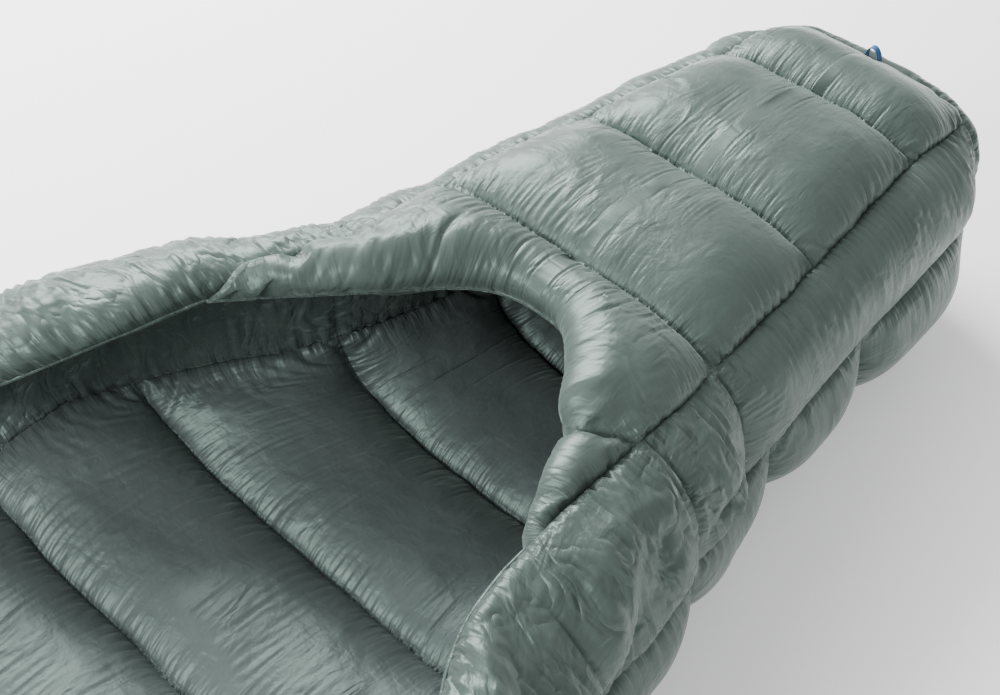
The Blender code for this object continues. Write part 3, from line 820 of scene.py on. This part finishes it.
SHELL_NYLON = nylon("shell_nylon", SHELL_LIGHT, SHELL_DARK, SHELL_ROUGHNESS)
LINING_NYLON = nylon("lining_nylon", LINING_LIGHT, LINING_DARK, LINING_ROUGHNESS)
THREAD = thread("seam_thread", (0.022, 0.028, 0.026, 1))
BLUE_WEBBING = webbing("blue_webbing", (0.003, 0.150, 0.360, 1), (0.001, 0.060, 0.180, 1))
GREEN_WEBBING = webbing("green_webbing", (0.100, 0.130, 0.115, 1), (0.040, 0.055, 0.050, 1))
SNAP_PLASTIC = moulded_plastic("snap_plastic", (0.050, 0.055, 0.058, 1))


# ---- making the pieces ----

def add_mesh(name, mesh, finish):
    mesh.materials.append(finish)
    mesh.shade_smooth()
    obj = bpy.data.objects.new(name, mesh)
    bpy.context.scene.collection.objects.link(obj)
    return obj


def put_vectors(mesh, name, values):
    """Stores a vector for every vertex."""
    table = np.zeros((len(mesh.vertices), 3), np.float32)
    table[:, :values.shape[1]] = values
    mesh.attributes.new(name, "FLOAT_VECTOR", "POINT").data.foreach_set("vector", table.ravel())


def grid_faces(rows, columns, facing):
    index = np.arange(rows * columns).reshape(rows, columns)
    quads = np.stack([index[:-1, :-1], index[:-1, 1:], index[1:, 1:], index[1:, :-1]], axis=-1).reshape(-1, 4)
    return quads if facing > 0 else quads[:, ::-1]


def panel(name, cloth, layer, rows, columns, stands_for, body=None):
    """One sewn panel: part of a cloth's shell (layer 0) or lining (layer 1)."""
    points = cloth.points[:, layer, rows, columns]
    size = points.shape[1:]
    facing = cloth.sign if layer == 0 else -cloth.sign
    mesh = bpy.data.meshes.new(name)
    mesh.from_pydata(points.reshape(3, -1).T, [], grid_faces(*size, facing))
    flat = cloth.flat[:, rows, columns].reshape(2, -1).T
    put_vectors(mesh, "flat", flat)
    put_vectors(mesh, "seams", cloth.seams[:, rows, columns].reshape(3, -1).T)
    uv = mesh.uv_layers.new(name="UVMap")
    corners = np.empty(len(mesh.loops), np.int32)
    mesh.loops.foreach_get("vertex_index", corners)
    uv.data.foreach_set("uv", flat[corners].astype(np.float32).ravel())
    finish, slot = ((SHELL_NYLON, "shell_nylon"), (LINING_NYLON, "lining_nylon"))[layer]
    obj = add_mesh(name, mesh, finish)
    follow(obj, body)
    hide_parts(*stands_for)


def follow(obj, body=None):
    """Rides on a body, or has its transform baked into its mesh where no body is given."""
    if body is None:
        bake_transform(obj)
    else:
        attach(obj, body)


def along_path(path):
    """Length along a path up to each of its points."""
    return np.concatenate([[0], np.cumsum(np.linalg.norm(np.diff(path, axis=0), axis=1))])


def cord_round(name, path, radius, sides=8, lumps=0.0):
    """A closed tube along a loop of points, slightly uneven in thickness."""
    count = len(path)
    tangent = np.roll(path, -1, axis=0) - np.roll(path, 1, axis=0)
    tangent /= np.maximum(np.linalg.norm(tangent, axis=1, keepdims=True), 1e-12)
    side = np.cross(tangent, (0.0, 0.0, 1.0))
    side /= np.maximum(np.linalg.norm(side, axis=1, keepdims=True), 1e-9)
    up = np.cross(side, tangent)
    angles = np.arange(sides) * 2 * math.pi / sides
    wobble = 1 + lumps * rng.uniform(-1, 1, count)[:, None, None]
    around = side[:, None] * np.cos(angles)[:, None] + up[:, None] * np.sin(angles)[:, None]
    verts = (path[:, None] + radius * wobble * around).reshape(-1, 3)
    faces = []
    for i in range(count):
        low, high = i * sides, (i + 1) % count * sides
        for j in range(sides):
            k = (j + 1) % sides
            faces.append((low + j, low + k, high + k, high + j))
    mesh = bpy.data.meshes.new(name)
    mesh.from_pydata(verts, [], faces)
    along = along_path(path)
    flat = np.stack([np.tile(angles * radius, count), np.repeat(along, sides)], axis=1)
    put_vectors(mesh, "flat", flat)
    put_vectors(mesh, "seams", np.full((len(verts), 2), 0.012))
    return mesh


def stitches(name, lines):
    """Thread dashes along lines of (points, outward directions): four-sided bars of four sections."""
    verts, faces = [], []
    for points, outward in lines:
        along = along_path(points)
        for start in np.arange(0, along[-1] - STITCH_PITCH, STITCH_PITCH):
            at = start + STITCH_PITCH * STITCH_SHARE * np.array([0.0, 0.25, 0.75, 1.0])
            p = np.stack([np.interp(at, along, points[:, k]) for k in range(3)], axis=1)
            o = np.stack([np.interp(at, along, outward[:, k]) for k in range(3)], axis=1)
            direction = p[-1] - p[0]
            length = np.linalg.norm(direction)
            if length < STITCH_PITCH * 0.2:
                continue
            side = np.cross(direction / length, o)
            side /= np.maximum(np.linalg.norm(side, axis=1, keepdims=True), 1e-9)
            middle = p + o * np.array([-0.6, 1.0, 1.0, -0.6])[:, None] * STITCH_LIFT
            thick = np.array([0.5, 1.0, 1.0, 0.5]) * STITCH_WIDTH
            base = len(verts)
            for m, s, up, t in zip(middle, side, o, thick):
                verts += [m + s * t, m + up * t * 0.9, m - s * t, m - up * t * 0.6]
            for k in range(3):
                for j in range(4):
                    a, b = base + 4 * k + j, base + 4 * k + (j + 1) % 4
                    faces.append((a, b, b + 4, a + 4))
            faces.append((base + 3, base + 2, base + 1, base))
            faces.append((base + 12, base + 13, base + 14, base + 15))
    mesh = bpy.data.meshes.new(name)
    mesh.from_pydata(np.array(verts), [], faces)
    return add_mesh(name, mesh, THREAD)


def ribbon(name, path, across, width, thickness, finish):
    """A flat tape with thicker woven edges along a path; across is its width direction."""
    tangent = np.gradient(path, axis=0)
    tangent /= np.linalg.norm(tangent, axis=1, keepdims=True)
    up = np.cross(tangent, across)
    up /= np.linalg.norm(up, axis=1, keepdims=True)
    top = [(width / 2 * (k / 4 - 1), thickness / 2 * (1.25 if k in (0, 8) else 1)) for k in range(9)]
    profile = top + [(w, -t) for w, t in reversed(top)]
    verts, flat, faces, count = [], [], [], len(profile)
    along = along_path(path)
    for i, point in enumerate(path):
        for w, t in profile:
            verts.append(point + across * w + up[i] * t)
            flat.append((w, along[i]))
    for i in range(len(path) - 1):
        for j in range(count):
            k = (j + 1) % count
            faces.append((i * count + j, i * count + k, (i + 1) * count + k, (i + 1) * count + j))
    faces.append(tuple(reversed(range(count))))
    faces.append(tuple(range((len(path) - 1) * count, len(path) * count)))
    mesh = bpy.data.meshes.new(name)
    mesh.from_pydata(verts, [], faces)
    put_vectors(mesh, "flat", np.array(flat))
    obj = add_mesh(name, mesh, finish)
    bevel = obj.modifiers.new("edges", "BEVEL")
    bevel.width = thickness * 0.35
    bevel.segments = 2
    bevel.limit_method = "ANGLE"
    return obj


def turned(name, profile, centre, finish, steps=40):
    """A turned shape about a vertical axis through centre."""
    verts, faces = [], []
    for k in range(steps):
        a = 2 * math.pi * k / steps
        for r, z in profile[1:-1]:
            verts.append((centre.x + r * math.cos(a), centre.y + r * math.sin(a), centre.z + z))
    bottom, top, ring_size = len(verts), len(verts) + 1, len(profile) - 2
    verts += [(centre.x, centre.y, centre.z + profile[0][1]), (centre.x, centre.y, centre.z + profile[-1][1])]
    for k in range(steps):
        a, b = k * ring_size, (k + 1) % steps * ring_size
        faces.append((bottom, b, a))
        faces.append((top, a + ring_size - 1, b + ring_size - 1))
        for j in range(ring_size - 1):
            faces.append((a + j, b + j, b + j + 1, a + j + 1))
    mesh = bpy.data.meshes.new(name)
    mesh.from_pydata(verts, [], faces)
    return add_mesh(name, mesh, finish)


def edge_line(cloth, rows, column):
    """The line midway between shell and lining at an edge of the cloth."""
    return cloth.points[:, :, rows, column].mean(axis=1).T


def seam_line(cloth, layer, rows, columns):
    """A seam's points and their outward directions, for stitches."""
    facing = cloth.sign if layer == 0 else -cloth.sign
    normals = grid_normals(cloth.points[:, layer]) * facing
    return cloth.points[:, layer, rows, columns].reshape(3, -1).T, normals[:, rows, columns].reshape(3, -1).T


def row_at(ys, y):
    return int(np.argmin(np.abs(ys - y)))


# ---- the cloths ----

body, back, toe = body_cloth(), back_cloth(), toe_cloth()
for cloth in (body, back, toe):
    cloth.wander()
sew_together(body, back, toe)
for cloth in (body, back, toe):
    cloth.blow_up()

seam_left = HALF_COLUMNS - round(CENTRE_SHARE_LEFT * HALF_COLUMNS)
seam_right = HALF_COLUMNS + round(CENTRE_SHARE_RIGHT * HALF_COLUMNS)
collar_row = row_at(body.ys, CENTRE_SEAMS[-1])
to_collar, collar = slice(0, collar_row + 1), slice(collar_row, None)
left, centre, right = slice(0, seam_left + 1), slice(seam_left, seam_right + 1), slice(seam_right, None)
everything = slice(None)
centre_fill = [f"{kind}_centre_{k:02}" for kind in ("down", "baffle") for k in range(1, 11)]
back_fill = [f"{kind}_back_{k}" for kind in ("down", "baffle") for k in range(1, 4)]

# name, cloth, rows, columns, the body it rides on, and the nodes that its shell and its lining stand for
panels = (
    ("centre", body, to_collar, centre, None,
     ["shell_body_foot", "shell_body_head"] + centre_fill, ["lining_body_foot", "lining_body_head"]),
    ("left", body, to_collar, left, None, [f"down_left_{k}" for k in range(1, 10)], []),
    ("right", body, to_collar, right, None, [f"down_right_{k}" for k in range(1, 10)], []),
    ("collar", body, collar, everything, "head_half", ["down_collar"], []),
    ("back", back, everything, everything, "foot_half",
     ["shell_footbox_back", "down_mouth"] + back_fill, ["lining_footbox_back"]),
    ("toe", toe, everything, everything, "foot_half", ["shell_toe", "down_toe"], ["lining_toe"]),
)
for layer, kind in enumerate(("shell", "lining")):
    for name, cloth, rows, columns, rides_on, *nodes in panels:
        panel(f"{kind}_cloth_{name}", cloth, layer, rows, columns, nodes[layer], rides_on)

# ---- hems, stitches and the small parts ----

mouth_row = row_at(body.ys, MOUTH_CORNER_Y)
open_rows = slice(mouth_row, None)
left_edge = edge_line(body, open_rows, 0)
neck_edge = edge_line(body, -1, everything)
right_edge = edge_line(body, open_rows, -1)[::-1]
mouth_edge = edge_line(back, -1, everything)[::-1]
hem_path = np.concatenate([left_edge[:-1], neck_edge[:-1], right_edge[:-1], mouth_edge[:-1]])
hem_mesh = cord_round("hem", hem_path, HEM_RADIUS, sides=8, lumps=0.08)
follow(add_mesh("hem", hem_mesh, SHELL_NYLON))

for layer, name in ((0, "shell_stitches"), (1, "lining_stitches")):
    lines = [seam_line(body, layer, row_at(body.ys, y), centre) for y in CENTRE_SEAMS[1:-1]]
    for seams, part in ((LEFT_SEAMS, left), (RIGHT_SEAMS, right)):
        held = [y for y, depth in seams[1:-1] if depth >= STITCHED_DEPTH]
        lines += [seam_line(body, layer, row_at(body.ys, y), part) for y in held]
    lines.append(seam_line(body, layer, collar_row, everything))
    lines += [seam_line(body, layer, to_collar, column) for column in (seam_left, seam_right)]
    lines += [seam_line(back, layer, row_at(back.ys[:, 0], y), everything) for y in BACK_SEAMS[1:]]
    follow(stitches(name, lines))

# the hang loop: a ribbon in an arch, its ends in the toe seam
ALONG_QUILT = np.array([0.0, 1.0, 0.0])
loop_low, loop_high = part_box("hang_loop")
loop_middle = (loop_low + loop_high) / 2
bends = np.linspace(-LOOP_OVERRUN, math.pi + LOOP_OVERRUN, LOOP_POINTS)
loop_path = np.stack([
    loop_middle.x - LOOP_SPAN / 2 * np.cos(bends) * (1 + LOOP_FLARE * np.sin(bends)),
    loop_middle.y + LOOP_TWIST * np.sin(2 * bends),
    loop_low.z + LOOP_RISE * np.sin(bends),
], axis=1)
loop = ribbon("hang_loop_ribbon", loop_path, ALONG_QUILT, LOOP_WIDTH, LOOP_THICK,
              BLUE_WEBBING)
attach(loop, "toe_loop")
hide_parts("hang_loop")

for node, body_name in (("neck_tab_left", "left_tab"), ("neck_tab_right", "right_tab")):
    low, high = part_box(node)
    middle = (low + high) / 2
    xs = np.linspace(low.x, high.x, TAB_POINTS)
    wave = TAB_WAVE * np.sin((xs - low.x) / TAB_WAVE_LENGTH * 2 * math.pi)
    path = np.stack([xs, np.full(TAB_POINTS, middle.y), middle.z + wave], axis=1)
    tab = ribbon(node + "_tape", path, ALONG_QUILT, TAB_WIDTH, TAB_THICK, GREEN_WEBBING)
    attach(tab, body_name)
    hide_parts(node)

snap_halves = (("snap_stud", STUD_PROFILE, "left_tab"), ("snap_socket", SOCKET_PROFILE, "right_tab"))
for node, profile, body_name in snap_halves:
    low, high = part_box(node)
    centre_point = Vector(((low.x + high.x) / 2, (low.y + high.y) / 2, low.z))
    snap = turned(node + "_moulding", profile, centre_point, SNAP_PLASTIC)
    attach(snap, body_name)
    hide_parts(node)


# ---- floor, lights and camera ----

floor_mesh = bpy.data.meshes.new("floor")
floor_corners = [(x * FLOOR_HALF, y * FLOOR_HALF, 0) for x, y in ((-1, -1), (1, -1), (1, 1), (-1, 1))]
floor_mesh.from_pydata(floor_corners, [], [(0, 1, 2, 3)])
floor = bpy.data.objects.new("floor", floor_mesh)
floor_mesh.materials.append(paper("studio_floor", FLOOR_COLOUR))
bpy.context.scene.collection.objects.link(floor)

world = bpy.data.worlds.new("studio")
bpy.context.scene.world = world
world.use_nodes = True
sky = world.node_tree.nodes["Background"]
sky.inputs["Color"].default_value = (1.0, 1.0, 1.0, 1)
sky.inputs["Strength"].default_value = SKY_STRENGTH


def soft_box(name, place, aim, width, depth, power):
    light = bpy.data.lights.new(name, "AREA")
    light.shape = "RECTANGLE"
    light.size, light.size_y = width, depth
    light.energy = power
    obj = bpy.data.objects.new(name, light)
    obj.location = place
    obj.rotation_euler = (Vector(aim) - Vector(place)).to_track_quat("-Z", "Y").to_euler()
    bpy.context.scene.collection.objects.link(obj)


soft_box("key", place=(-2.1, 1.0, 1.75), aim=(0, 0.3, 0.15), width=1.9, depth=1.5, power=215)
soft_box("head_fill", place=(-0.5, -2.3, 1.9), aim=(0, -0.1, 0.05), width=1.8, depth=1.4, power=135)

camera_data = bpy.data.cameras.new("camera")
camera_data.lens = CAMERA_LENS
camera_data.sensor_width = 36.0
camera_data.clip_start = 0.05
camera = bpy.data.objects.new("camera", camera_data)
camera.location = CAMERA_PLACE
camera.rotation_euler = tuple(math.radians(turn) for turn in CAMERA_TURN)
bpy.context.scene.collection.objects.link(camera)
bpy.context.scene.camera = camera
